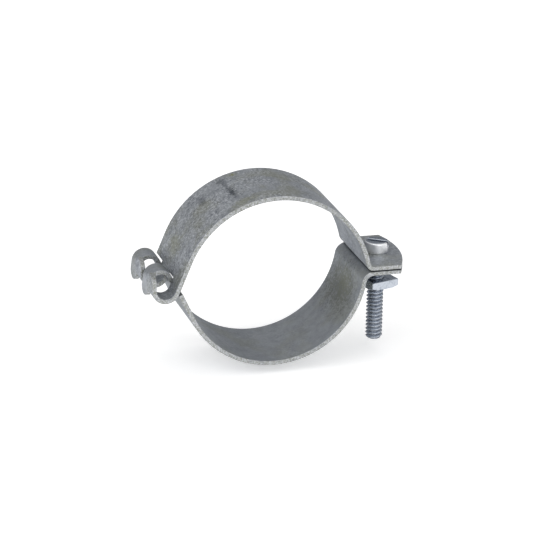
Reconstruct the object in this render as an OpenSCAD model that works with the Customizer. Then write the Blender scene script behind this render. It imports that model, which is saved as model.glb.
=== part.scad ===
// Hinged two-piece earth clip for a steel pipe. Two bent strips hook into each other on one
// side, without a pin, and a slotted screw with a square nut draws their flanges together.
// Millimetres. The pipe runs along Y, the flanges point to +X and the screw's head is up.
// The origin is the middle of the ring, in the plane where the two flanges meet.

/* [Pipe and ring] */
// Outside diameter of the pipe that the clip is made for
pipe_d = 48.3; // [33.7:0.1:60.3]
// Width of both bands, along the pipe
band_w = 25; // [18:0.5:40]
// Thickness of the sheet
band_t = 1.2; // [0.8:0.1:1.6]
// How much larger than the pipe the lower half is bent, on the radius
lower_slack = 0.2; // [0:0.1:1]
// How much larger than the pipe the upper half is bent, on the radius
upper_slack = 1.1; // [0:0.1:1.8]
// Depth of the upper half's centre below the flange plane
upper_drop = 3.4; // [2:0.1:5]
// Height of the lower half's centre above the flange plane
lower_rise = 1.2; // [0.4:0.1:3]
// How far the upper half's ring sits towards the flanges
upper_shift = 0.25; // [-0.3:0.05:0.6]
// How far the lower half's ring sits towards the flanges
lower_shift = -0.15; // [-0.4:0.05:0.4]

/* [Flanges] */
// Radius on the inside of the upper flange's bend
upper_bend_r = 1.2; // [0.6:0.1:2]
// Radius on the inside of the lower flange's bend
lower_bend_r = 2.1; // [0.6:0.1:2.6]
// Length of the flanges beyond the screw's axis
flange_reach = 6.45; // [5:0.05:12]
// Radius of the flanges' rounded ends
end_r = 32; // [21:1:60]
// How far the middle of the rounded ends lies towards the back
end_shift = 2; // [0:0.1:3]
// Hairline gap between the two flanges
parting_gap = 0.1; // [0.05:0.05:0.4]

/* [Hook hinge] */
// Distance from the pipe's surface out to the hinge's axis
hinge_offset = 5.9; // [5.4:0.05:9]
// Depth of the hinge's axis below the flange plane
hinge_drop = 0.75; // [0.2:0.05:1.5]
// Radius inside the upper half's hooks, which curl up
upper_hook_r = 2.6; // [2:0.1:3]
// Radius inside the lower half's hooks, which curl down
lower_hook_r = 2.2; // [1.6:0.1:2.6]
// Angle by which the straight ends of the upper half's hooks stand open
upper_splay = 0; // [0:1:10]
// Angle by which the straight ends of the lower half's hooks stand open
lower_splay = 6; // [0:1:10]
// Distance from the hinge's axis to the hooks' tips
tip_reach = 4; // [3.6:0.05:6]
// How far the middle of a tip stands out past its corners
tip_crown = 1.5; // [0.4:0.1:2]
// Side gap between neighbouring hooks
comb_gap = 0.3; // [0.2:0.05:0.8]
// Gap between a hook's round back and the edge of the slot that it swings in
slot_gap = 0.48; // [0.2:0.02:0.8]
// The same gap at the slot nearest the front of each half, which fits more closely
front_slot_gap = 0.16; // [0.1:0.02:0.8]

/* [Screw] */
// Outside diameter of the screw's thread
screw_d = 4.6; // [4:0.01:5.2]
// Length of the screw under its head
screw_len = 25; // [20:0.1:45]
// Diameter of the screw's head
head_d = 6.6; // [6.4:0.1:9]
// Height of the screw's head
head_h = 3; // [2:0.1:4]
// Rounding of the head's upper edge
head_edge = 0.45; // [0.1:0.05:0.8]
// Gap between the head and the start of the upper flange's bend
seat_gap = 1.1; // [0.2:0.05:4]
// Width of the screwdriver slot
slot_w = 1.3; // [0.8:0.1:1.6]
// Depth of the screwdriver slot
slot_depth = 1.4; // [0.8:0.1:1.8]
// Direction of the screwdriver slot, from +X
slot_turn = -36; // [-90:1:90]
// Bevel on the screw's end
end_bevel = 0.6; // [0.2:0.1:0.9]
// Gap between the screw and the edge of the holes in the flanges
hole_gap = 0.52; // [0.4:0.02:0.8]

/* [Square nut] */
// Width of the nut across its flats
nut_w = 8.4; // [7.4:0.1:9.6]
// Thickness of the nut
nut_t = 2.3; // [1.6:0.1:3.2]
// Distance from the lower flange down to the nut
nut_gap = 5; // [0.2:0.1:12]
// Direction in which the nut's front face is turned, from +X
nut_turn = 16.5; // [0:0.1:89]
// How far the nut's body stands off its bore, towards +X
nut_offset = 0.5; // [0:0.05:0.6]
// How far the nut's four upright corners are cut back
nut_corner = 0.15; // [0.1:0.05:0.6]
// Height of the bevel under the nut's corners
nut_bevel = 0.5; // [0.2:0.1:0.9]
// Gap between the screw and the nut, in place of their threads
thread_gap = 0.05; // [0.02:0.01:0.1]

/* [Hidden] */
$fn = 144;
// How far a cutting body runs past what it cuts
past = 1;
// Largest turn between two points on a bend
bend_step = 3;
// Underside of each half's flange, above the plane where the halves meet
sheet_z = parting_gap / 2;
// Outside radius of each half's bent ring
upper_out = pipe_d / 2 + upper_slack + band_t;
lower_out = pipe_d / 2 + lower_slack + band_t;
// The screw stands clear of the bend, and both flanges end beyond it
screw_x = bend_x(upper_out, [upper_shift, -upper_drop], upper_bend_r) + head_d / 2 + seat_gap;
flange_x = screw_x + flange_reach;
hole_r = screw_d / 2 + hole_gap;
// Hinge: four hook places across the band, taken in turn by the two halves
hinge_x = -pipe_d / 2 - hinge_offset;
hook_w = band_w / 4;
// Arc across a tip, from the tip's width and its crown
tip_half = (hook_w - comb_gap) / 2;
tip_r = (pow(tip_half, 2) + pow(tip_crown, 2)) / (2 * tip_crown);
// Reach of the cuts that part the hooks
comb_reach = upper_hook_r + band_t + tip_reach + past;
zinc = [0.66, 0.68, 0.69];
bright_zinc = [0.80, 0.82, 0.85];

// Unit vector at an angle
function aim(a) = [cos(a), sin(a)];
// Height of the centre of a flange's bend, with inside radius r
function bend_z(r) = sheet_z + band_t + r;
// Place of that centre, where the bend touches the outside of a ring about c
function bend_x(out, c, r) = c[0] + sqrt(pow(out + r, 2) - pow(bend_z(r) - c[1], 2));
// Direction from a ring about c to its straight wall, which crosses over to touch the inside
// of a hook about h with radius r
function wall_angle(out, c, h, r) = atan2(h[1] - c[1], h[0] - c[0]) - acos((out + r) / norm(h - c));

// Points along an arc about c, from angle a0 to angle a1
function arc(c, r, a0, a1) =
    let (steps = ceil(abs(a1 - a0) / bend_step))
    [for (i = [0:steps]) c + r * aim(a0 + (a1 - a0) * i / steps)];
// One face of a bent half, from its flange's end to its hook's end, as deep in the sheet as
// depth says: the bends towards it lose that depth and the bends away from it gain it
function face(depth, c, out, bend_r, h, r, splay) =
    let (
        bend_c = [bend_x(out, c, bend_r), bend_z(bend_r)],
        right = asin((bend_c[1] - c[1]) / (out + bend_r)),
        left = wall_angle(out, c, h, r)
    )
    concat(
        [[flange_x, sheet_z + band_t - depth]],
        arc(bend_c, bend_r + depth, 270, 180 + right),
        arc(c, out - depth, right, left),
        arc(h, r + depth, 180 + left, 180 + splay),
        [h + (r + depth) * aim(180 + splay) + (tip_reach + past) * aim(90 + splay)]
    );
function reverse(points) = [for (i = [len(points) - 1:-1:0]) points[i]];

// Slab with the given outline seen along the pipe, between two places across the band
module slab(y0, y1) {
    translate([0, y1, 0]) rotate([90, 0, 0]) linear_extrude(height = y1 - y0) children();
}

// Bent strip of one half, with its flange and ring uppermost: c is the ring's centre and out its
// outside radius, h the hinge's axis, r and splay the hook's radius and lean
module bent_strip(c, out, bend_r, h, r, splay) {
    slab(-band_w / 2, band_w / 2) polygon(concat(
        face(0, c, out, bend_r, h, r, splay),
        reverse(face(band_t, c, out, bend_r, h, r, splay))
    ));
}

// Outline of a slot that frees the other half's hooks: it follows the wall at angle a, at
// distance r from the hinge, up to the gap round the other half's hook radius
module slot_outline(a, r, other_r, gap) {
    edge = sqrt(pow(other_r + band_t + gap, 2) - pow(r, 2));
    wall = -r - band_t - past;
    rotate(a) polygon([[wall, comb_reach], [wall, -edge], [0, -edge], [0, -2 * comb_reach],
        [2 * comb_reach, -2 * comb_reach], [2 * comb_reach, comb_reach]]);
}

// All that is cut away between and beyond one half's hooks, about the hinge's axis. The slot that
// starts at front_y has the closer gap.
module comb_cut(a, r, other_r, front_y) {
    for (y = [-hook_w, hook_w])
        slab(y - comb_gap / 2, y + hook_w + comb_gap / 2)
            slot_outline(a, r, other_r, y == front_y ? front_slot_gap : slot_gap);
    for (y = [-2 * hook_w, 0])
        translate([0, y + hook_w / 2, tip_reach - tip_r]) difference() {
            translate([-comb_reach, -hook_w / 2 - comb_gap, 0])
                cube([comb_reach, hook_w + 2 * comb_gap, comb_reach]);
            rotate([0, 90, 0]) cylinder(r = tip_r, h = 3 * comb_reach, center = true);
        }
}

// What lies outside the rounded end of a flange, whose middle lies at end_y
module end_cut(end_y) {
    arc_x = flange_x - end_r;
    translate([arc_x, end_y, -past]) difference() {
        translate([0, -band_w, 0]) cube([end_r + past, 2 * band_w, band_t + 3 * past]);
        cylinder(r = end_r, h = pipe_d, center = true);
    }
}

// One half of the clip: the bent strip with its comb, its rounded end and the screw's hole
module half(c, out, bend_r, h, r, other_r, splay, front_y) {
    difference() {
        bent_strip(c, out, bend_r, h, r, splay);
        translate([h[0], 0, h[1]]) comb_cut(wall_angle(out, c, h, r), r, other_r, front_y);
        end_cut(front_y < 0 ? end_shift : -end_shift);
        translate([screw_x, 0, sheet_z - past]) cylinder(r = hole_r, h = band_t + 2 * past);
    }
}

// Upper half: its hooks take the first and third place from the front
module upper_band() {
    color(zinc) half([upper_shift, -upper_drop], upper_out, upper_bend_r,
        [hinge_x, -hinge_drop], upper_hook_r, lower_hook_r, upper_splay, -hook_w);
}

// Lower half: the same strip turned over, so its hooks take the second and fourth place
module lower_band() {
    color(zinc) rotate([180, 0, 0]) half([lower_shift, -lower_rise], lower_out, lower_bend_r,
        [hinge_x, hinge_drop], lower_hook_r, upper_hook_r, lower_splay, hook_w);
}

// Half section of the head, with its upper edge rounded
module head_section() {
    square([head_d / 2, head_h - head_edge]);
    square([head_d / 2 - head_edge, head_h]);
    translate([head_d / 2 - head_edge, head_h - head_edge]) circle(head_edge);
}

// Slotted screw with a cheese head, which rests on the upper flange
module screw() {
    color(bright_zinc) translate([screw_x, 0, sheet_z + band_t]) {
        translate([0, 0, -screw_len]) rotate_extrude() polygon([[0, 0], [screw_d / 2 - end_bevel, 0],
            [screw_d / 2, end_bevel], [screw_d / 2, screw_len], [0, screw_len]]);
        difference() {
            rotate_extrude() head_section();
            rotate(slot_turn) translate([-head_d, -slot_w / 2, head_h - slot_depth])
                cube([2 * head_d, slot_w, slot_depth + past]);
        }
    }
}

// Square nut, bevelled below, on the screw some way under the lower flange
module nut() {
    corner = nut_w / sqrt(2) - nut_corner;
    bottom = -sheet_z - band_t - nut_gap - nut_t;
    color(bright_zinc) translate([screw_x, 0, bottom]) difference() {
        translate([nut_offset, 0, 0]) rotate(nut_turn) intersection() {
            translate([-nut_w / 2, -nut_w / 2, 0]) cube([nut_w, nut_w, nut_t]);
            rotate_extrude() polygon([[0, 0], [corner - 2 * nut_bevel, 0], [corner, nut_bevel],
                [corner, nut_t], [0, nut_t]]);
        }
        translate([0, 0, -past]) cylinder(r = screw_d / 2 + thread_gap, h = nut_t + 2 * past);
    }
}

upper_band();
lower_band();
screw();
nut();
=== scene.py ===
"""Looks of a hinged earth clip for a steel pipe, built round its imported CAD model.

Two galvanised strips, stamped as flat blanks and bent, hook into each other on the left. A bright
zinc-plated screw and a pressed square nut hold their flanges together on the right. Everything is
in metres, in the CAD model's own frame: the pipe runs along Y and the screw's head is up.
"""
import bmesh
import bpy
import numpy as np
from bpy.props import FloatProperty, FloatVectorProperty, PointerProperty
from mathutils import Matrix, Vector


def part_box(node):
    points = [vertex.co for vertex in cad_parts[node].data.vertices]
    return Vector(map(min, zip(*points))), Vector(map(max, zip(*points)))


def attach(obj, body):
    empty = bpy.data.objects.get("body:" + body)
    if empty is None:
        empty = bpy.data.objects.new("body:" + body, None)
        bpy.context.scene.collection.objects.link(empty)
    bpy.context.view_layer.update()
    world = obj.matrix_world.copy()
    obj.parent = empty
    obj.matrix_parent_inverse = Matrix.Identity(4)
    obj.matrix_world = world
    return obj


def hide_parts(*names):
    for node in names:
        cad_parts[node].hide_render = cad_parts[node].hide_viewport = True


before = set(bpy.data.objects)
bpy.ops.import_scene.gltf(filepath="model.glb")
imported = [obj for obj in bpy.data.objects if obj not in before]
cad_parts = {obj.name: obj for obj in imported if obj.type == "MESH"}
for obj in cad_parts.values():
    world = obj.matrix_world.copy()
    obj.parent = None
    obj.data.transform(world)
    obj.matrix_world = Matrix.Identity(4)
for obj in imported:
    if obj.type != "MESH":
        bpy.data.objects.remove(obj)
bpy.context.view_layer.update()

bl_info = {
    "name": "Earth clip",
    "version": (1, 0, 0),
    "blender": (4, 5, 0),
    "location": "3D View > Sidebar > Earth clip",
    "description": "Builds a hinged, galvanised earth clip with its screw and square nut",
    "category": "Add Mesh",
}

UPPER_LOW, UPPER_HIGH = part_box("upper_band")
LOWER_LOW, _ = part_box("lower_band")
SCREW_LOW, SCREW_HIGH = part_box("screw")
NUT_LOW, NUT_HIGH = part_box("nut")
SCREW_X = (SCREW_LOW.x + SCREW_HIGH.x) / 2
MM = 0.001


def srgb(code):
    """Linear colour, with alpha, of a hex colour as it is seen on a screen."""
    c = np.array([int(code[i:i + 2], 16) for i in (1, 3, 5)]) / 255
    return tuple(np.where(c <= 0.04045, c / 12.92, ((c + 0.055) / 1.055) ** 2.4)) + (1.0,)


def length(name, description, default):
    """A size that a user may change, shown in Blender's own units."""
    return FloatProperty(name=name, description=description, default=default, unit="LENGTH", precision=5)


def turn(name, description, degrees):
    """An angle that a user may change."""
    return FloatProperty(name=name, description=description, default=np.radians(degrees), unit="ROTATION")


def factor(name, description, default):
    """A plain number that a user may change."""
    return FloatProperty(name=name, description=description, default=default, precision=3)


def colour(name, description, code):
    """A colour that a user may change, given as it is seen on a screen."""
    return FloatVectorProperty(name=name, description=description, default=srgb(code), size=4,
                               subtype="COLOR", min=0, max=1)


class StripSizes(bpy.types.PropertyGroup):
    """What the two bent strips have in common."""
    width: length("Width", "Width of the strip, along the pipe", UPPER_HIGH.y - UPPER_LOW.y)
    sheet: length("Sheet", "Thickness of the sheet", 1.2 * MM)
    rounding: length("Edge rounding", "Rounding that the zinc coat leaves on the sheared edges", 0.13 * MM)
    parting: length("Parting gap", "Hairline gap between the two flanges", 0.1 * MM)
    flange_end: length("Flange end", "Place of the flanges' ends along X", UPPER_HIGH.x)
    end_radius: length("End radius", "Radius of the flanges' rounded ends", 32 * MM)
    end_shift: length("End shift", "How far the middle of the rounded ends lies towards the back", 2 * MM)
    hole_radius: length("Hole radius", "Radius of the holes for the screw", 2.82 * MM)
    hinge_x: length("Hinge place", "Place of the hinge's axis along X", -30.05 * MM)
    comb_gap: length("Comb gap", "Side gap between neighbouring hooks", 0.3 * MM)
    slot_gap: length("Slot gap", "Gap between a hook's back and the slot that it swings in", 0.48 * MM)
    front_slot_gap: length("Front slot gap", "The same gap at the slot nearest the front", 0.16 * MM)
    tip_reach: length("Tip reach", "Distance from the hinge's axis to the hooks' tips", 4 * MM)
    tip_crown: length("Tip crown", "How far the middle of a tip stands out past its corners", 1.5 * MM)
    cell: length("Cell", "Side of the small faces that the strips are made of", 0.42 * MM)


class UpperHalf(bpy.types.PropertyGroup):
    """Bends of the upper half."""
    shift: length("Shift", "Place of the ring's centre along X", 0.25 * MM)
    centre: length("Centre", "Height of the ring's centre", -3.4 * MM)
    ring: length("Ring radius", "Outside radius of the bent ring", 26.45 * MM)
    bend: length("Bend radius", "Radius on the inside of the flange's bend", 1.2 * MM)
    hinge: length("Hinge height", "Height of the hinge's axis", -0.75 * MM)
    hook: length("Hook radius", "Radius inside the hooks", 2.6 * MM)
    splay: turn("Splay", "Lean of the hooks' straight ends", 0)


class LowerHalf(bpy.types.PropertyGroup):
    """Bends of the lower half, as they stand before it is turned over."""
    shift: length("Shift", "Place of the ring's centre along X", -0.15 * MM)
    centre: length("Centre", "Height of the ring's centre", -1.2 * MM)
    ring: length("Ring radius", "Outside radius of the bent ring", 25.55 * MM)
    bend: length("Bend radius", "Radius on the inside of the flange's bend", 2.1 * MM)
    hinge: length("Hinge height", "Height of the hinge's axis", 0.75 * MM)
    hook: length("Hook radius", "Radius inside the hooks", 2.2 * MM)
    splay: turn("Splay", "Lean of the hooks' straight ends", 6)


class ScrewSizes(bpy.types.PropertyGroup):
    """The slotted screw."""
    pitch: length("Pitch", "Distance between two crests of the thread", 25.4 / 24 * MM)
    crest: length("Crest radius", "Radius over the thread's crests", 2.3 * MM)
    head_radius: length("Head radius", "Radius of the head", 3.3 * MM)
    head_height: length("Head height", "Height of the head", 3 * MM)
    head_edge: length("Head rounding", "Rounding of the head's upper edge", 0.45 * MM)
    slot_width: length("Slot width", "Width of the screwdriver slot", 1.3 * MM)
    slot_depth: length("Slot depth", "Depth of the screwdriver slot", 1.4 * MM)
    slot_turn: turn("Slot direction", "Direction of the screwdriver slot, from +X", -36)
    bevel: length("End bevel", "Bevel on the screw's end", 0.6 * MM)


class NutSizes(bpy.types.PropertyGroup):
    """The pressed square nut."""
    flats: length("Across flats", "Width of the nut across its flats", 8.4 * MM)
    turned: turn("Direction", "Direction in which the nut's front face is turned", 16.5)
    offset: length("Offset", "How far the nut's body stands off its bore", 0.5 * MM)
    corner: length("Corner", "How far the upright corners are cut back", 0.15 * MM)
    bevel: length("Bevel", "Height of the bevel under the corners", 0.5 * MM)
    rounding: length("Edge rounding", "Rounding of the pressed edges", 0.22 * MM)
    play: length("Thread play", "Gap between the nut's thread and the screw's", 0.04 * MM)


class FinishColours(bpy.types.PropertyGroup):
    """Colours of the metal's finishes, with the painted shade and painted highlights laid on them."""
    zinc_light: colour("Light zinc", "Light patches of the hot-dip coat", "#A6AAAF")
    zinc_dark: colour("Dark zinc", "Dark patches of the hot-dip coat", "#8F9399")
    zinc_tint: colour("Weathered zinc", "Dull yellowish tint of aged coat", "#91927E")
    tint_spot: colour("Yellowish spots", "Places where the coat has gone yellowish green", "#8C8C62")
    # Frost is also laid on the hooks as a painted highlight, in the halves' marks
    frost: colour("Frost", "Fine bright grains and veins in the coat", "#D6D9DE")
    # Painted shade inside the lower half, near the flange
    inner_shade: colour("Inner shade", "Dark, dull place inside the lower half", "#696B64")
    stain: colour("Stain", "Dark rubbed marks on the coat", "#454A52")
    # Painted shade: this colour darkens the thread's roots and the rims of the hairline between the flanges
    crevice_shade: colour("Crevice shade", "Dirt in the thread's roots and between the flanges", "#2B2D31")
    # Painted light: the sheared edges are painted lighter than the faces, as if lit from the front
    lit_edge: colour("Bright edge", "Sheared edges where the coat is bright", "#C0C2C6")
    edge_dark: colour("Dull edge", "Pits and dull places along the sheared edges", "#85877F")
    plate_light: colour("Bright plate", "Bright zinc plating of the screw and the nut", "#C0C6CF")
    # Painted highlight: the side and rounded upper edge of the screw's head are painted near white
    head_rim_highlight: colour("Head rim highlight", "Rough, light plating round the side of the screw's head", "#F2F3F5")
    plate_dark: colour("Dull plate", "Dull places of the plating", "#9BA2AE")
    coat_glance: colour("Coat at a glance", "The hot-dip coat, seen nearly along its surface", "#A2A6AC")
    # Painted dark reflection: the plating turns this dark colour where it is seen nearly edge-on
    glance: colour("Plate at a glance", "The plating, seen nearly along its surface", "#73777F")


class StageSettings(bpy.types.PropertyGroup):
    """Camera, light and floor."""
    azimuth: turn("Azimuth", "Direction that the camera looks from, about Z", -16.36)
    elevation: turn("Elevation", "Height of the camera above the level", 19.73)
    roll: turn("Roll", "Turn of the picture about the line of sight", -1.18)
    distance: length("Distance", "Distance of the camera from the point that it looks at", 823.71 * MM)
    lens: factor("Lens", "Focal length in millimetres, on a 36 mm sensor", 3037.56 * 36 / 533)
    front: factor("Front light", "Brightness of the surroundings on the camera's side", 0.95)
    behind: factor("Back light", "Brightness of the surroundings behind the part", 0.42)
    overhead: factor("Overhead light", "Brightness of the surroundings overhead", 0.7)
    lamp: factor("Lamp", "Strength of the two soft lamps on the camera's side", 0.75)
    shine: factor("Floor shine", "Light that the floor shows by itself, so that it looks white", 0.38)
    room: length("Room below", "Height over the floor, which the lower half needs to swing open", 2.4 * MM)
    floor: colour("Floor", "Colour of the floor", "#F4F4F4")


# What the camera looks at, near the middle of the ring
CAMERA_TARGET = np.array([3.088, 7.861, -3.797]) * MM
GROUPS = {"strip": StripSizes, "upper": UpperHalf, "lower": LowerHalf, "screw": ScrewSizes,
          "nut": NutSizes, "finish": FinishColours, "stage": StageSettings}


class EarthClip(bpy.types.PropertyGroup):
    """All that a user may change, in one place on the scene."""
    strip: PointerProperty(type=StripSizes)
    upper: PointerProperty(type=UpperHalf)
    lower: PointerProperty(type=LowerHalf)
    screw: PointerProperty(type=ScrewSizes)
    nut: PointerProperty(type=NutSizes)
    finish: PointerProperty(type=FinishColours)
    stage: PointerProperty(type=StageSettings)


# Surfaces

def grid_faces(rows, columns, closed=False):
    """Corners of the faces of a grid of rows by columns of points. A closed grid's last column
    joins its first."""
    i, j = np.meshgrid(np.arange(rows - 1), np.arange(columns if closed else columns - 1), indexing="ij")
    right = (j + 1) % columns
    return np.stack([i * columns + j, i * columns + right, (i + 1) * columns + right,
                     (i + 1) * columns + j], axis=-1).reshape(-1, 4)


def weld(patches, step=1e-7):
    """Joins patches of (points, faces) into one: points that fall in the same small step are one."""
    points, faces, start = [], [], 0
    for p, f in patches:
        points.append(p)
        faces.append(f + start)
        start += len(p)
    points, faces = np.concatenate(points), np.concatenate(faces)
    _, first, which = np.unique(np.round(points / step).astype(np.int64), axis=0,
                                return_index=True, return_inverse=True)
    return points[first], which.reshape(-1)[faces]


def make_object(name, points, faces, materials, indices=None):
    """A mesh object at the origin from points and four-cornered faces. Two corners that are one
    point leave a three-cornered face, and the faces are turned outwards."""
    mesh = bpy.data.meshes.new(name)
    same = faces == np.roll(faces, 1, axis=1)
    kept = [row[~gone].tolist() for row, gone in zip(faces, same)]
    mesh.from_pydata(points.tolist(), [], kept)
    for material in materials:
        mesh.materials.append(material)
    if indices is not None:
        mesh.polygons.foreach_set("material_index", indices.astype(np.int32))
    bm = bmesh.new()
    bm.from_mesh(mesh)
    bmesh.ops.recalc_face_normals(bm, faces=bm.faces)
    bm.to_mesh(mesh)
    bm.free()
    mesh.polygons.foreach_set("use_smooth", np.ones(len(mesh.polygons), bool))
    mesh.update()
    obj = bpy.data.objects.new(name, mesh)
    bpy.context.scene.collection.objects.link(obj)
    return obj


def spread(marks, cell):
    """Places along a line through all the marks, no further apart than the cell."""
    parts = [np.linspace(a, b, max(1, int(np.ceil((b - a) / cell))) + 1)[:-1]
             for a, b in zip(marks, marks[1:])]
    return np.concatenate(parts + [marks[-1:]])


# The bent strips

def strip_path(half, strip):
    """Stretches that the middle of the sheet runs through, from the flange's end to a hook's tip.
    Each has its length and its turning rate, which is one over its radius: the flange and the wall
    run straight, the bend and the hook turn clockwise and the ring turns the other way."""
    t = strip.sheet
    level = strip.parting / 2 + t + half.bend
    bend_x = half.shift + np.sqrt((half.ring + half.bend) ** 2 - (level - half.centre) ** 2)
    right = np.arcsin((level - half.centre) / (half.ring + half.bend))
    reach = np.hypot(strip.hinge_x - half.shift, half.hinge - half.centre)
    to_hinge = np.arctan2(half.hinge - half.centre, strip.hinge_x - half.shift)
    left = to_hinge % (2 * np.pi) - np.arccos((half.ring + half.hook) / reach)
    wall = np.sqrt(reach ** 2 - (half.ring + half.hook) ** 2)
    radii = [np.inf, -(half.bend + t / 2), half.ring - t / 2, np.inf, -(half.hook + t / 2), np.inf]
    lengths = [strip.flange_end - bend_x, (np.pi / 2 - right) * -radii[1], (left - right) * radii[2], wall,
               (left - half.splay) * -radii[4], 2 * strip.tip_reach]
    return np.array(lengths), 1 / np.array(radii)


def bent(half, strip, s, n):
    """Places in the side view of points at distance s along the middle of the sheet and n out of
    it. On a stretch that starts at heading h with turning rate k, the heading at s is h + k s, and
    the place moves by the difference of the heading's sine and cosine, divided by k."""
    lengths, rates = strip_path(half, strip)
    starts = np.concatenate([[0], np.cumsum(lengths)[:-1]])
    headings = np.pi + np.concatenate([[0], np.cumsum(lengths * rates)[:-1]])

    def step(h, k, ds):
        safe = np.where(k == 0, 1, k)
        x = np.where(k == 0, np.cos(h) * ds, (np.sin(h + k * ds) - np.sin(h)) / safe)
        z = np.where(k == 0, np.sin(h) * ds, (np.cos(h) - np.cos(h + k * ds)) / safe)
        return np.stack([x, z], axis=-1)

    corners = np.cumsum(np.concatenate([[[strip.flange_end, strip.parting / 2 + strip.sheet / 2]],
                                        step(headings, rates, lengths)[:-1]]), axis=0)
    i = np.clip(np.searchsorted(starts, s, side="right") - 1, 0, len(starts) - 1)
    ds = s - starts[i]
    heading = headings[i] + rates[i] * ds
    place = corners[i] + step(headings[i], rates[i], ds)
    return place + n[..., None] * np.stack([np.sin(heading), -np.cos(heading)], axis=-1)


def blank(half, other, strip, flip):
    """The flat blank that a half is stamped from, as points (s, y) and faces: s runs along it from
    the flange's end. Straight grids fill it, apart from a square round the screw's hole, where
    rings of points pass from the circle to the square. The slot nearest the front, which lies on
    the other side of a flipped half, is less deep."""
    lengths, _ = strip_path(half, strip)
    ends = np.cumsum(lengths)
    w, t, hole, cell = strip.width, strip.sheet, strip.hole_radius, strip.cell
    place = w / 4
    margin = 0.7 * MM
    side, hole_s = hole + margin, strip.flange_end - SCREW_X
    slot_s, front_s = [ends[3] - np.sqrt((other.hook + t + gap) ** 2 - half.hook ** 2)
                       for gap in (strip.slot_gap, strip.front_slot_gap)]
    half_gap = strip.comb_gap / 2
    hooks = first, second = [(-2 * place, -place - half_gap), (half_gap, place - half_gap)]
    between = [first, (second[0], w / 2)] if flip else [(first[0], second[1])]
    marks = np.array(sorted([-side, side, w / 2, *first, *second]))
    across = spread(marks, cell)

    def end_s(y):
        """The rounded end falls back from its middle as a circle does."""
        off = y + strip.end_shift if flip else y - strip.end_shift
        return strip.end_radius - np.sqrt(strip.end_radius ** 2 - off ** 2)

    def before_hole(y):
        """Line across the blank that the square's near side lies on. Beside the square it bends
        back as the rounded end does."""
        edge_s = np.where(y < 0, end_s(-side), end_s(side))
        return hole_s - side + np.maximum(0, end_s(y) - edge_s) * (np.abs(y) > side)

    def columns(low, high):
        """Places across the blank, from one to another."""
        tiny = 1e-9
        return across[(across >= low - tiny) & (across <= high + tiny)]

    def grid(y, start, end, count):
        """Rows of points from one line across the blank to another."""
        f = np.linspace(0, 1, count)[:, None]
        s = (1 - f) * (start + 0 * y) + f * (end + 0 * y)
        points = np.stack([s, y + 0 * s], axis=-1).reshape(-1, 2)
        return points, grid_faces(count, len(y))

    # Before the hole, and beside it
    end_rows, hole_rows, hole_rings = 7, int(2 * side / cell) + 2, 5
    patches = [grid(across, end_s(across), before_hole(across), end_rows)]
    for y in (columns(-w / 2, -side), columns(side, w / 2)):
        patches.append(grid(y, before_hole(y), hole_s + side, hole_rows))
    # Round the hole
    inner = columns(-side, side)
    along = np.linspace(-side, side, hole_rows)
    square = np.concatenate([
        np.stack([0 * inner - side, inner], -1),
        np.stack([along, 0 * along + side], -1)[1:],
        np.stack([0 * inner + side, inner[::-1]], -1)[1:],
        np.stack([along[::-1], 0 * along - side], -1)[1:-1]])
    circle = hole * square / np.linalg.norm(square, axis=1, keepdims=True)
    f = np.linspace(0, 1, hole_rings)[:, None, None]
    rings = (1 - f) * circle + f * square + np.array([hole_s, 0])
    patches.append((rings.reshape(-1, 2), grid_faces(len(f), len(square), closed=True)))
    # From the hole round the ring to the slots, in rows that are closer together on the bend
    stations = spread(np.array([hole_s + side, ends[0], ends[1], ends[2], slot_s]), cell)
    bend = spread(np.array([ends[0], ends[1]]), cell / 2)
    stations = np.unique(np.round(np.concatenate([stations, bend]), 8))
    s, y = np.meshgrid(stations, across, indexing="ij")
    patches.append((np.stack([s, y], -1).reshape(-1, 2), grid_faces(*s.shape)))
    for low, high in between:
        patches.append(grid(columns(low, high), slot_s, front_s, 2))
    # The hooks, with crowned tips
    tip_half = (place - strip.comb_gap) / 2
    tip_radius = (tip_half ** 2 + strip.tip_crown ** 2) / (2 * strip.tip_crown)
    for low, high in hooks:
        y = columns(low, high)
        middle = np.floor(low / place + 0.5) * place + place / 2
        rise = np.sqrt(tip_radius ** 2 - np.minimum(np.abs(y - middle), tip_radius * 0.98) ** 2)
        height = strip.tip_reach - tip_radius + rise
        lean = (half.hook + t / 2) * np.sin(half.splay)
        tip_s = ends[4] + (height + lean) / np.cos(half.splay)
        patches.append(grid(y, front_s, ends[4], int((ends[4] - front_s) / (0.75 * cell))))
        patches.append(grid(y, ends[4], tip_s, int(strip.tip_reach / cell) + 2))
    return weld([(np.pad(p, ((0, 0), (0, 1))), f) for p, f in patches])


def strip_object(name, half, other, strip, flip, materials):
    """One bent strip with its thickness: the blank is bent twice, once for each face of the sheet,
    and faces along every free side of the blank close it. Those sheared sides take the second
    material. A flipped strip is turned half round the X axis."""
    flat, faces = blank(half, other, strip, flip)
    s, y = flat[:, 0], flat[:, 1]
    shells = []
    for n in (strip.sheet / 2, -strip.sheet / 2):
        place = bent(half, strip, s, np.full(len(s), n))
        shells.append(np.stack([place[:, 0], y, place[:, 1]], axis=-1))
    points = np.concatenate(shells)
    if flip:
        points = points * np.array([1, -1, -1])
    count = len(flat)
    edges = np.stack([faces, np.roll(faces, -1, axis=1)], axis=-1).reshape(-1, 2)
    key = np.sort(edges, axis=1)
    _, first, uses = np.unique(key, axis=0, return_index=True, return_counts=True)
    rim = edges[first[uses == 1]]
    sides = np.stack([rim[:, 0], rim[:, 1], rim[:, 1] + count, rim[:, 0] + count], axis=-1)
    every = np.concatenate([faces, faces[:, ::-1] + count, sides])
    index = np.concatenate([np.zeros(2 * len(faces), int), np.ones(len(sides), int)])
    obj = make_object(name, points, every, materials, index)
    bevel = obj.modifiers.new("Zinc-coated edge", "BEVEL")
    bevel.width, bevel.segments, bevel.limit_method = strip.rounding, 3, "ANGLE"
    bevel.angle_limit, bevel.harden_normals = np.radians(50), True
    return obj


# The screw and the nut

# Rows of points over one pitch of the thread
ROWS_PER_PITCH = 18


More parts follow.
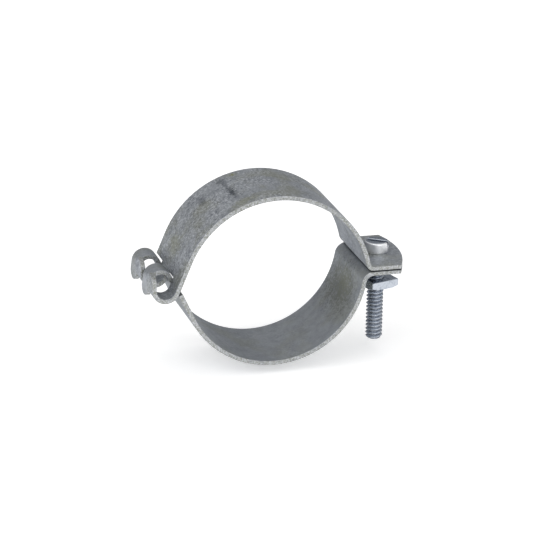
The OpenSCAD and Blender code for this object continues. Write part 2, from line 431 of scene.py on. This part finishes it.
def thread_radius(screw, angle, z):
    """Radius of a rounded right-hand thread at an angle about its axis and a height. Its height
    over the pitch, less its angle over a full turn, gives the place between two crests. From there
    the flanks fall as those of a 55 degree V, whose crests and roots are rounded off."""
    place = (z / screw.pitch - angle / (2 * np.pi)) % 1
    # Heights of the whole V and of the rounded thread, for flanks at 55 degrees
    full, deep = 0.9605 * screw.pitch, 0.6403 * screw.pitch
    drop = full * (2 * np.abs(place - 0.5)) - full / 6
    soft = 0.06 * screw.pitch
    low = soft * np.logaddexp(0, drop / soft)
    return screw.crest - deep + soft * np.logaddexp(0, (deep - low) / soft)


def head_columns(screw, arc=44, mouth=8):
    """Angles of the screw's columns, from the slot's direction: equal steps round the head's two
    sides, and equal steps across the slot's two mouths."""
    corner = np.arcsin(screw.slot_width / 2 / screw.head_radius)
    across = np.arcsin(np.linspace(-1, 1, mouth + 1) * screw.slot_width / 2 / screw.head_radius)
    side = np.linspace(corner, np.pi - corner, arc + 1)
    angles = [side[:-1], np.pi + across[:-1], side[:-1] + np.pi, 2 * np.pi + across[:-1]]
    return np.concatenate(angles), side


def turned(rows, angles):
    """Surface of revolution from rows of (radius, height), where the radius may be a number or an
    array with one value for each angle."""
    radii = np.array([np.broadcast_to(r, angles.shape) for r, _ in rows])
    heights = np.array([np.broadcast_to(z, angles.shape) for _, z in rows])
    points = np.stack([radii * np.cos(angles), radii * np.sin(angles), heights], axis=-1)
    return points.reshape(-1, 3), grid_faces(len(rows), len(angles), closed=True)


def screw_patches(screw, shank, seat):
    """Patches of the whole screw about its axis, with the head's seat at z = 0. The shank and the
    lower part of the head are turned. Above the slot's floor each side of the head is a stack of D
    outlines, which draw in along a quarter circle at the rounded edge and close on the top."""
    angles, side = head_columns(screw)
    R, half_slot, top = screw.head_radius, screw.slot_width / 2, screw.head_height
    floor, low_edge = top - screw.slot_depth, 0.15 * MM
    world = angles + screw.slot_turn
    rows = [(0.0, -shank), (0.45 * screw.crest, -shank)]
    for z in np.arange(-shank, -low_edge / 3, screw.pitch / ROWS_PER_PITCH):
        limit = screw.crest - screw.bevel + (z + shank)
        rows.append((np.minimum(thread_radius(screw, world, z + seat), limit), z))
    rows.append((screw.crest * 0.9, 0.0))
    rows += [(r, 0.0) for r in np.linspace(screw.crest * 1.1, R - low_edge, 4)]
    rows += [(R - low_edge / 3, low_edge / 3), (R, low_edge)]
    rows += [(R, z) for z in np.linspace(low_edge, floor, 5)[1:]]
    patches = [turned(rows, angles)]
    # The slot's floor, between the two chords
    chord_points = np.linspace(-1, 1, 25)
    v = np.linspace(-half_slot, half_slot, 9)[:, None]
    u = chord_points * np.sqrt(R ** 2 - v ** 2)
    points = np.stack([u, v + 0 * u, floor + 0 * u], axis=-1)
    patches.append((points.reshape(-1, 3), grid_faces(*u.shape)))
    # The two sides of the head
    quarter = np.linspace(0, np.pi / 2, 6)
    levels = [(0.0, z) for z in np.linspace(floor, top - screw.head_edge, 4)]
    levels += [(screw.head_edge * (1 - np.cos(a)), top - screw.head_edge * (1 - np.sin(a)))
               for a in quarter[1:]]
    outlines = []
    for inset, z in levels:
        r, chord = R - inset, half_slot + 0.25 * inset
        corner = np.arcsin(chord / r)
        a = corner + (side - side[0]) / (side[-1] - side[0]) * (np.pi - 2 * corner)
        back = chord_points[1:-1] * r * np.cos(corner)
        outline = np.concatenate([np.stack([r * np.cos(a), r * np.sin(a)], -1),
                                  np.stack([back, 0 * back + chord], -1)])
        outlines.append(np.column_stack([outline, np.full(len(outline), z)]))
    middle = np.array([0, (R + half_slot) / 2, top])
    for k in (0.75, 0.5, 0.25, 0.0):
        outlines.append(middle + k * (outlines[len(levels) - 1] - middle))
    stack = np.array(outlines)
    for sign in (1, -1):
        lobe = stack * np.array([sign, sign, 1])
        patches.append((lobe.reshape(-1, 3), grid_faces(len(stack), stack.shape[1], closed=True)))
    cos, sin = np.cos(screw.slot_turn), np.sin(screw.slot_turn)
    spin = np.array([[cos, sin, 0], [-sin, cos, 0], [0, 0, 1]])
    return [(p @ spin, f) for p, f in patches]


def nut_surface(nut, screw, low, high):
    """The nut as one closed grid that runs out under it, up its sides, in over its top and down
    its threaded bore. The body is square, cut back at its upright corners, and a cone bevels the
    corners below. The upper edges are rounded, as pressing leaves them."""
    flat = nut.flats / 2
    corner = nut.flats / np.sqrt(2) - nut.corner
    cut, flat_steps, corner_steps = np.arccos(flat / corner), 32, 3
    quarter = np.concatenate([np.linspace(-cut, cut, flat_steps, endpoint=False),
                              np.linspace(cut, np.pi / 2 - cut, corner_steps, endpoint=False)])
    angles = np.concatenate([quarter + k * np.pi / 2 for k in range(4)])
    wrapped = (angles + np.pi / 4) % (np.pi / 2) - np.pi / 4
    world = angles + nut.turned
    ray = np.stack([np.cos(world), np.sin(world)], axis=-1)
    thick = high - low

    def ring(inset, z):
        """Outline of the body at a height, drawn in by an inset."""
        radius = np.minimum((flat - inset) / np.cos(wrapped), corner - 1.2 * inset)
        radius = np.minimum(radius, corner - 2 * nut.bevel + 2 * z)
        place = radius[:, None] * ray + np.array([nut.offset, 0])
        return np.column_stack([place, np.full(len(angles), low + z)])

    def bore(radius, z):
        """Circle round the screw's axis at a height."""
        radius = np.broadcast_to(radius, angles.shape)
        return np.column_stack([radius[:, None] * ray, np.full(len(angles), low + z)])

    mouth, funnel, low_edge = screw.crest + 0.12 * MM, 0.45 * MM, 0.05 * MM
    e, round_steps = nut.rounding, np.linspace(0, np.pi / 2, 6)
    under = [ring(low_edge, 0)] + [ring(0, z) for z in np.linspace(low_edge, nut.bevel, 7)]
    sides = [ring(0, z) for z in np.linspace(nut.bevel, thick - e, 6)[1:]]
    over = [ring(e * (1 - np.cos(a)), thick - e * (1 - np.sin(a))) for a in round_steps[1:]]
    below, above, between = bore(mouth, 0), bore(mouth, thick), [0.25, 0.5, 0.75]
    rows = [below] + [(1 - k) * below + k * under[0] for k in between] + under + sides + over
    rows += [(1 - k) * over[-1] + k * above for k in between] + [above]
    for z in np.arange(thick, 0, -screw.pitch / ROWS_PER_PITCH)[1:]:
        sink = max(0, z - thick + funnel, funnel - z)
        thread = thread_radius(screw, world, low + z) + nut.play
        rows.append(bore(np.maximum(thread, mouth - funnel + sink), z))
    stack = np.array(rows)
    faces = grid_faces(len(stack) + 1, len(angles), closed=True) % (len(stack) * len(angles))
    return stack.reshape(-1, 3) + np.array([SCREW_X, 0, 0]), faces


# Finishes

# Settings of the nodes that step smoothly between two values, and of those that mix two colours
SMOOTH = {"interpolation_type": "SMOOTHSTEP"}
COLOURS = {"data_type": "RGBA"}


def add(tree, kind, inputs=(), **settings):
    """Adds one node to a material. Settings are its own, and inputs are listed in the node's order
    or under their names. An input takes a value, the socket that feeds it, or a node, whose first
    live output feeds it."""
    made = tree.nodes.new(kind)
    for name, value in settings.items():
        setattr(made, name, value)
    for key, value in (inputs.items() if isinstance(inputs, dict) else enumerate(inputs)):
        if isinstance(value, bpy.types.Node):
            value = next(socket for socket in value.outputs if socket.enabled)
        if isinstance(value, bpy.types.NodeSocket):
            tree.links.new(value, made.inputs[key])
        else:
            made.inputs[key].default_value = value
    return made


def start_material(name):
    """A new, empty material, its node tree and its object coordinates."""
    material = bpy.data.materials.new(name)
    material.use_nodes = True
    tree = material.node_tree
    tree.nodes.clear()
    return material, tree, add(tree, "ShaderNodeTexCoord").outputs["Object"]


def cloudy(tree, place, grain, detail, roughness, offset):
    """Cloudy pattern whose patches are about one grain across, in metres."""
    moved = add(tree, "ShaderNodeMapping", {"Vector": place, "Location": offset, "Scale": (1 / grain,) * 3})
    return add(tree, "ShaderNodeTexNoise", {"Vector": moved, "Scale": 1.0, "Detail": detail,
                                            "Roughness": roughness})


def marked(tree, place, base, marks, number):
    """Lays ragged marks on a colour. Each mark is (centre, half sizes, strength, colour), in
    millimetres: it is an ellipsoid whose outline a pattern pushes in and out."""
    ragged_by, outline, core = 4.0, 3.1, 2.2
    for centre, sizes, strength, tone in marks:
        near = add(tree, "ShaderNodeMapping", {"Vector": place, "Location": np.array(centre) * MM,
                                               "Scale": np.array(sizes) * MM}, vector_type="TEXTURE")
        away = add(tree, "ShaderNodeVectorMath", [near], operation="LENGTH")
        ragged = cloudy(tree, place, 0.8 * MM, 5.0, 0.8, (number, 1.7, 0))
        away = add(tree, "ShaderNodeMath", [ragged, ragged_by, away], operation="MULTIPLY_ADD")
        share = add(tree, "ShaderNodeMapRange", [away, outline, core, 0.0, strength], **SMOOTH)
        base = add(tree, "ShaderNodeMix", {0: share, 6: base, 7: tone}, **COLOURS)
        number += 2.3
    return base


def crevice_shade(tree, place, base, clip):
    """Paints shade on the rims of the hairline between the two flanges, painted shade where the gap
    looks dark, but not on the flat faces that meet there."""
    flat, bend_x, fade = clip.strip.parting / 2, SCREW_X - 6.2 * MM, 1.5 * MM
    unshaded, black = flat + 0.29 * MM, flat + 0.07 * MM
    parts = add(tree, "ShaderNodeSeparateXYZ", [place]).outputs
    height = add(tree, "ShaderNodeMath", [parts["Z"]], operation="ABSOLUTE")
    rim = add(tree, "ShaderNodeMapRange", [height, flat + 0.001 * MM, flat + 0.01 * MM], **SMOOTH)
    close = add(tree, "ShaderNodeMapRange", [height, unshaded, black], **SMOOTH)
    flange = add(tree, "ShaderNodeMapRange", [parts["X"], bend_x, bend_x + fade], **SMOOTH)
    share = add(tree, "ShaderNodeMath", [rim, close], operation="MULTIPLY")
    share = add(tree, "ShaderNodeMath", [share, flange], operation="MULTIPLY")
    return add(tree, "ShaderNodeMix", {0: share, 6: base, 7: clip.finish.crevice_shade}, **COLOURS)


def hot_dip_zinc(name, clip, marks, number, frost):
    """Hot-dip galvanised steel. The coat froze in faint cloudy patches, with fine bright veins and
    grains between them, and a thin matt film of zinc salts has dulled it, yellowish in places.
    Frost is the share of the grains, which show most on the hooks' side of the ring and fade out
    in smooth patches. Marks lie on it: stains and spots where the strip was held, and painted shade
    and painted highlights."""
    material, tree, place = start_material(name)
    colours, shift = clip.finish, (number * 4.7, number * 1.3, 0)
    calm = 0.35 * (1 - frost)
    clouds = cloudy(tree, place, 3.6 * MM, 5.0, 0.65, shift)
    clouds = add(tree, "ShaderNodeMapRange", [clouds, 0.36, 0.64, calm, 1 - calm], **SMOOTH)
    base = add(tree, "ShaderNodeMix", {0: clouds, 6: colours.zinc_dark, 7: colours.zinc_light}, **COLOURS)
    film = cloudy(tree, place, 9 * MM, 4.0, 0.55, (3.1 + number, 0, 0.7))
    film = add(tree, "ShaderNodeMapRange", [film, 0.46, 0.66, 0.0, 0.2 + 0.35 * frost], **SMOOTH)
    base = add(tree, "ShaderNodeMix", {0: film, 6: base, 7: colours.zinc_tint}, **COLOURS)
    # Veins run where a pattern passes through its middle value
    ridge = cloudy(tree, place, 2.1 * MM, 5.0, 0.6, (number, 5.2, 1.1))
    ridge = add(tree, "ShaderNodeMath", [ridge, 0.5], operation="SUBTRACT")
    ridge = add(tree, "ShaderNodeMath", [ridge], operation="ABSOLUTE")
    veins = add(tree, "ShaderNodeMapRange", [ridge, 0.028, 0.004], **SMOOTH)
    share = add(tree, "ShaderNodeMath", [veins, 0.4 * frost], operation="MULTIPLY")
    base = add(tree, "ShaderNodeMix", {0: share, 6: base, 7: colours.frost}, **COLOURS)
    # Bright and dark grains
    along = add(tree, "ShaderNodeSeparateXYZ", [place]).outputs["X"]
    wide = cloudy(tree, place, 7 * MM, 4.0, 0.55, (1.9 + number, 4.4, 0))
    wide = add(tree, "ShaderNodeMath", [along, -4.0, wide], operation="MULTIPLY_ADD")
    coarse = add(tree, "ShaderNodeMapRange", [wide, 0.4, 0.58, 0.3, 1.0], **SMOOTH)
    grain = cloudy(tree, place, 0.62 * MM, 3.0, 0.7, shift)
    for low, high, most, tone in ((0.46, 0.7, 0.9, colours.frost), (0.5, 0.28, 0.55, colours.stain)):
        share = add(tree, "ShaderNodeMapRange", [grain, low, high, 0.0, most * frost], **SMOOTH)
        share = add(tree, "ShaderNodeMath", [share, coarse], operation="MULTIPLY")
        base = add(tree, "ShaderNodeMix", {0: share, 6: base, 7: tone}, **COLOURS)
    # Painted shade along the hairline between the flanges
    base = crevice_shade(tree, place, marked(tree, place, base, marks(colours), number), clip)
    rough = add(tree, "ShaderNodeMapRange", [clouds, 0.0, 1.0, 0.52, 0.42], **SMOOTH)
    height = add(tree, "ShaderNodeMath", [veins, 0.4, grain], operation="MULTIPLY_ADD")
    bump = add(tree, "ShaderNodeBump", {"Height": height, "Strength": 0.3, "Distance": 0.012 * MM})
    shader = add(tree, "ShaderNodeBsdfPrincipled", {"Base Color": base, "Metallic": 0.7, "Roughness": rough,
                                                    "Specular Tint": colours.coat_glance, "Normal": bump})
    add(tree, "ShaderNodeOutputMaterial", {"Surface": shader})
    return material


def sheared_edge(name, clip, number):
    """The strip's sheared sides under the same coat. Shearing leaves a torn, pitted face with small
    dull places. The edge is painted brighter than the faces, painted light as if lit from the front."""
    material, tree, place = start_material(name)
    colours = clip.finish
    torn = cloudy(tree, place, 0.45 * MM, 4.0, 0.7, (number, 0, 2.0))
    share = add(tree, "ShaderNodeMapRange", [torn, 0.34, 0.66], **SMOOTH)
    # The light edge colour is painted light, brighter than the coat's faces
    base = add(tree, "ShaderNodeMix", {0: share, 6: colours.edge_dark, 7: colours.lit_edge}, **COLOURS)
    pits = cloudy(tree, place, 1.6 * MM, 4.0, 0.7, (0.4, 2.2 + number, 0))
    pits = add(tree, "ShaderNodeMapRange", [pits, 0.52, 0.66, 0.0, 0.5], **SMOOTH)
    base = add(tree, "ShaderNodeMix", {0: pits, 6: base, 7: colours.zinc_dark}, **COLOURS)
    # Painted shade along the hairline between the flanges
    base = crevice_shade(tree, place, base, clip)
    bump = add(tree, "ShaderNodeBump", {"Height": torn, "Strength": 0.5, "Distance": 0.03 * MM})
    shader = add(tree, "ShaderNodeBsdfPrincipled", {"Base Color": base, "Metallic": 1.0, "Roughness": 0.5,
                                                    "Normal": bump})
    add(tree, "ShaderNodeOutputMaterial", {"Surface": shader})
    return material


def bright_zinc(name, clip, number):
    """Electroplated zinc, bright and slightly blue, over steel that was rolled or pressed. Handling
    leaves faint dull clouds on it. The thread's roots are painted dark, painted shade, and the side
    and rounded upper edge of the head are painted lighter, a painted highlight, and made rougher.
    Seen nearly edge-on, the plating turns dark, a painted dark reflection."""
    material, tree, place = start_material(name)
    colours, crest, head = clip.finish, clip.screw.crest, clip.screw.head_radius
    seat = SCREW_HIGH.z - clip.screw.head_height
    dull = cloudy(tree, place, 1.2 * MM, 4.0, 0.6, (number, 0, 0))
    share = add(tree, "ShaderNodeMapRange", [dull, 0.48, 0.75], **SMOOTH)
    base = add(tree, "ShaderNodeMix", {0: share, 6: colours.plate_light, 7: colours.plate_dark}, **COLOURS)
    # Distance from the screw's axis, and what lies below the head
    off = add(tree, "ShaderNodeVectorMath", [place, (SCREW_X, 0, 0)], operation="SUBTRACT")
    off = add(tree, "ShaderNodeVectorMath", [off, (1, 1, 0)], operation="MULTIPLY")
    radius = add(tree, "ShaderNodeVectorMath", [off], operation="LENGTH")
    height = add(tree, "ShaderNodeSeparateXYZ", [place]).outputs["Z"]
    below = add(tree, "ShaderNodeMapRange", [height, seat, seat - 0.3 * MM], **SMOOTH)
    above = add(tree, "ShaderNodeMapRange", [height, seat - 0.3 * MM, seat], **SMOOTH)
    # Painted shade in the thread's roots, below the head
    flank, root = crest - 0.25 * MM, crest - 0.55 * MM
    roots = add(tree, "ShaderNodeMapRange", [radius, flank, root, 0.0, 0.35], **SMOOTH)
    roots = add(tree, "ShaderNodeMath", [roots, below], operation="MULTIPLY")
    base = add(tree, "ShaderNodeMix", {0: roots, 6: base, 7: colours.crevice_shade}, **COLOURS)
    # Painted highlight on the side and rounded upper edge of the head
    rim = add(tree, "ShaderNodeMapRange", [radius, head - 0.5 * MM, head - 0.1 * MM], **SMOOTH)
    rim = add(tree, "ShaderNodeMath", [rim, above], operation="MULTIPLY")
    base = add(tree, "ShaderNodeMix", {0: rim, 6: base, 7: colours.head_rim_highlight}, **COLOURS)
    rough = add(tree, "ShaderNodeMapRange", [dull, 0.35, 0.7, 0.2, 0.34], **SMOOTH)
    rough = add(tree, "ShaderNodeMath", [rim, 0.18, rough], operation="MULTIPLY_ADD")
    bump = add(tree, "ShaderNodeBump", {"Height": dull, "Strength": 0.15, "Distance": 0.01 * MM})
    # Specular Tint turns the plating dark where it is seen nearly edge-on: a painted dark reflection
    shader = add(tree, "ShaderNodeBsdfPrincipled", {"Base Color": base, "Metallic": 1.0, "Roughness": rough,
                                                    "Specular Tint": colours.glance, "Normal": bump})
    add(tree, "ShaderNodeOutputMaterial", {"Surface": shader})
    return material


def white_paper(stage):
    """Matt white paper under the part. It shines by itself only where the camera sees it, straight
    or in the metal, so it looks white and lights nothing."""
    material, tree, _ = start_material("White paper")
    path = add(tree, "ShaderNodeLightPath").outputs
    seen = add(tree, "ShaderNodeMath", [path["Is Camera Ray"], path["Is Glossy Ray"]], operation="MAXIMUM")
    seen = add(tree, "ShaderNodeMath", [seen, path["Is Transmission Ray"]], operation="MAXIMUM")
    glow = add(tree, "ShaderNodeMath", [seen, stage.shine], operation="MULTIPLY")
    shader = add(tree, "ShaderNodeBsdfPrincipled", {
        "Base Color": stage.floor, "Roughness": 0.9, "Specular IOR Level": 0.1,
        "Emission Color": (1, 1, 1, 1), "Emission Strength": glow})
    add(tree, "ShaderNodeOutputMaterial", {"Surface": shader})
    return material


def upper_marks(colours):
    """Marks on the upper half: dark rubbed places across the top of the ring, yellowish spots, and
    a painted highlight on the hooks' rolls."""
    return [((-9.4, -0.8, 21.2), (1.2, 4.6, 2.0), 0.85, colours.stain),
            ((-9.7, 5.8, 21.2), (0.7, 3.4, 2.0), 0.55, colours.stain),
            ((-9.9, 8.9, 21.0), (1.8, 2.0, 2.0), 0.55, colours.stain),
            ((-16.2, 4.5, 17.3), (1.5, 3.6, 2.0), 0.45, colours.stain),
            ((-6.4, 10.3, 22.2), (1.4, 1.0, 1.5), 0.7, colours.tint_spot),
            ((-8.0, -9.5, 21.7), (5.0, 2.2, 3.0), 0.4, colours.tint_spot),
            ((-24.0, 2.5, 6.5), (3.0, 6.5, 4.5), 0.4, colours.tint_spot),
            # Painted highlight on the hooks' rolls
            ((-30.0, 0.0, -2.8), (3.2, 14.0, 2.4), 0.3, colours.frost)]


def lower_marks(colours):
    """Marks on the lower half: painted shade on the inside near the flange, with a faint yellowish
    green spot there, and a painted highlight on the hooks' straight ends."""
    # Painted shade inside, near the flange, then a faint yellowish green spot
    return [((22.0, 1.0, -8.5), (7.0, 14.0, 9.0), 0.7, colours.inner_shade),
            ((22.9, -0.5, -6.3), (4.0, 6.5, 6.0), 0.22, colours.tint_spot),
            # Painted highlight on the hooks' straight ends
            ((-33.4, 0.0, -1.8), (1.3, 14.0, 3.4), 0.5, colours.frost)]


# The stage

def direction(azimuth, elevation):
    """Unit vector towards a place that lies at an azimuth, from straight in front, and an
    elevation."""
    return np.array([np.sin(azimuth) * np.cos(elevation), -np.cos(azimuth) * np.cos(elevation),
                     np.sin(elevation)])


def aimed(place, back, roll):
    """Placing of a lamp or camera: its back points along back, and its right side stays level
    apart from the roll."""
    right = np.cross([0, 0, 1], back)
    right /= np.linalg.norm(right)
    up = np.cross(back, right)
    cos, sin = np.cos(roll), np.sin(roll)
    placing = np.eye(4)
    placing[:3, 0] = cos * right - sin * up
    placing[:3, 1] = sin * right + cos * up
    placing[:3, 2] = back
    placing[:3, 3] = place
    return Matrix(placing.tolist())


def lay_floor(stage):
    """The floor, in rings about the part that are wider apart further out."""
    level = min(LOWER_LOW.z, SCREW_LOW.z) - stage.room
    rings = [(radius, level) for radius in (0.0, 0.05, 0.2, 0.8, 3.0)]
    points, faces = turned(rings, np.linspace(0, 2 * np.pi, 65)[:-1])
    make_object("floor", *weld([(points, faces[:, ::-1])]), [white_paper(stage)])


def light_room(scene, stage):
    """Surroundings, bright on the camera's side and dim behind the part, as in a studio."""
    scene.world = bpy.data.worlds.new("Room")
    scene.world.use_nodes = True
    tree = scene.world.node_tree
    tree.nodes.clear()
    way = add(tree, "ShaderNodeTexCoord").outputs["Generated"]
    parts = add(tree, "ShaderNodeSeparateXYZ", [way]).outputs
    level = add(tree, "ShaderNodeMapRange", [parts["Y"], -0.6, 0.6, stage.front, stage.behind], **SMOOTH)
    high = add(tree, "ShaderNodeMapRange", [parts["Z"], 0.2, 0.85], **SMOOTH)
    light = add(tree, "ShaderNodeMix", {0: high, 2: level, 3: stage.overhead})
    room = add(tree, "ShaderNodeBackground", {"Color": (1, 1, 1, 1), "Strength": light})
    add(tree, "ShaderNodeOutputWorld", {"Surface": room})


def hang_lamps(scene, stage):
    """Two wide, soft lamps on the camera's side, each with its azimuth, elevation and share."""
    for name, azimuth, elevation, power in (("Left lamp", -62, 38, 0.9), ("Right lamp", 12, 22, 0.65)):
        away = direction(*np.radians([azimuth, elevation]))
        lamp = bpy.data.lights.new(name, "SUN")
        lamp.angle, lamp.energy = np.radians(45), power * stage.lamp
        obj = bpy.data.objects.new(name, lamp)
        scene.collection.objects.link(obj)
        obj.matrix_world = aimed(away, away, 0.0)


def set_camera(scene, stage):
    """The camera, which looks at the ring from the left and a little from above."""
    away = direction(stage.azimuth, stage.elevation)
    camera = bpy.data.cameras.new("Camera")
    camera.sensor_width, camera.lens = 36, stage.lens
    camera.clip_start, camera.clip_end = 0.05, 20
    obj = bpy.data.objects.new("Camera", camera)
    scene.collection.objects.link(obj)
    obj.matrix_world = aimed(CAMERA_TARGET + stage.distance * away, away, stage.roll)
    scene.camera = obj


# Operators

class CLIP_OT_upper_band(bpy.types.Operator):
    """Bends the upper strip, whose two hooks curl up"""
    bl_idname = "clip.upper_band"
    bl_label = "Upper band"

    def execute(self, context):
        clip = context.scene.earth_clip
        coat = hot_dip_zinc("Hot-dip zinc, upper band", clip, upper_marks, 0, 1.0)
        edge = sheared_edge("Sheared zinc edge, upper band", clip, 0)
        band = strip_object("upper_band_strip", clip.upper, clip.lower, clip.strip, False, [coat, edge])
        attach(band, "upper_half")
        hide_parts("upper_band")
        return {"FINISHED"}


class CLIP_OT_lower_band(bpy.types.Operator):
    """Bends the lower strip, whose two hooks curl down"""
    bl_idname = "clip.lower_band"
    bl_label = "Lower band"

    def execute(self, context):
        clip = context.scene.earth_clip
        coat = hot_dip_zinc("Hot-dip zinc, lower band", clip, lower_marks, 1, 0.28)
        edge = sheared_edge("Sheared zinc edge, lower band", clip, 1)
        band = strip_object("lower_band_strip", clip.lower, clip.upper, clip.strip, True, [coat, edge])
        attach(band, "lower_half")
        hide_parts("lower_band")
        return {"FINISHED"}


class CLIP_OT_screw(bpy.types.Operator):
    """Turns the slotted screw, with its thread"""
    bl_idname = "clip.screw"
    bl_label = "Screw"

    def execute(self, context):
        clip = context.scene.earth_clip
        seat = SCREW_HIGH.z - clip.screw.head_height
        points, faces = weld(screw_patches(clip.screw, seat - SCREW_LOW.z, seat))
        points = points + np.array([SCREW_X, 0, seat])
        plate = bright_zinc("Bright zinc plate, screw", clip, 0)
        screw = make_object("cheese_head_screw", points, faces, [plate])
        screw.data.set_sharp_from_angle(angle=np.radians(50))
        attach(screw, "clamp_screw")
        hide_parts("screw")
        return {"FINISHED"}


class CLIP_OT_nut(bpy.types.Operator):
    """Presses the square nut, with its threaded bore"""
    bl_idname = "clip.nut"
    bl_label = "Square nut"

    def execute(self, context):
        clip = context.scene.earth_clip
        points, faces = weld([nut_surface(clip.nut, clip.screw, NUT_LOW.z, NUT_HIGH.z)])
        plate = bright_zinc("Bright zinc plate, nut", clip, 3)
        nut = make_object("square_nut", points, faces, [plate])
        nut.data.set_sharp_from_angle(angle=np.radians(40))
        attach(nut, "clamp_nut")
        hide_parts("nut")
        return {"FINISHED"}


class CLIP_OT_stage(bpy.types.Operator):
    """Sets the floor, the light and the camera"""
    bl_idname = "clip.stage"
    bl_label = "Stage"

    def execute(self, context):
        scene, stage = context.scene, context.scene.earth_clip.stage
        scene.view_settings.view_transform = "Standard"
        lay_floor(stage)
        light_room(scene, stage)
        hang_lamps(scene, stage)
        set_camera(scene, stage)
        return {"FINISHED"}


class VIEW3D_PT_earth_clip(bpy.types.Panel):
    """Lists the clip's pieces and what a user may change"""
    bl_label = "Earth clip"
    bl_idname = "VIEW3D_PT_earth_clip"
    bl_space_type = "VIEW_3D"
    bl_region_type = "UI"
    bl_category = "Earth clip"

    def draw(self, context):
        clip = context.scene.earth_clip
        for operator in OPERATORS:
            self.layout.operator(operator.bl_idname)
        for name in GROUPS:
            box = self.layout.box()
            box.label(text=name.capitalize())
            group = getattr(clip, name)
            for key in group.bl_rna.properties.keys():
                if key not in ("rna_type", "name"):
                    box.prop(group, key)


OPERATORS = [CLIP_OT_stage, CLIP_OT_upper_band, CLIP_OT_lower_band, CLIP_OT_screw, CLIP_OT_nut]
CLASSES = list(GROUPS.values()) + [EarthClip] + OPERATORS + [VIEW3D_PT_earth_clip]


def register():
    """Adds the clip's settings, operators and panel to Blender."""
    for cls in CLASSES:
        bpy.utils.register_class(cls)
    bpy.types.Scene.earth_clip = PointerProperty(type=EarthClip)


def unregister():
    """Takes them out again."""
    del bpy.types.Scene.earth_clip
    for cls in reversed(CLASSES):
        bpy.utils.unregister_class(cls)


def main():
    """Builds the whole clip on its stage."""
    register()
    bpy.ops.clip.stage()
    bpy.ops.clip.upper_band()
    bpy.ops.clip.lower_band()
    bpy.ops.clip.screw()
    bpy.ops.clip.nut()
    bpy.context.view_layer.update()


if __name__ == "__main__":
    main()
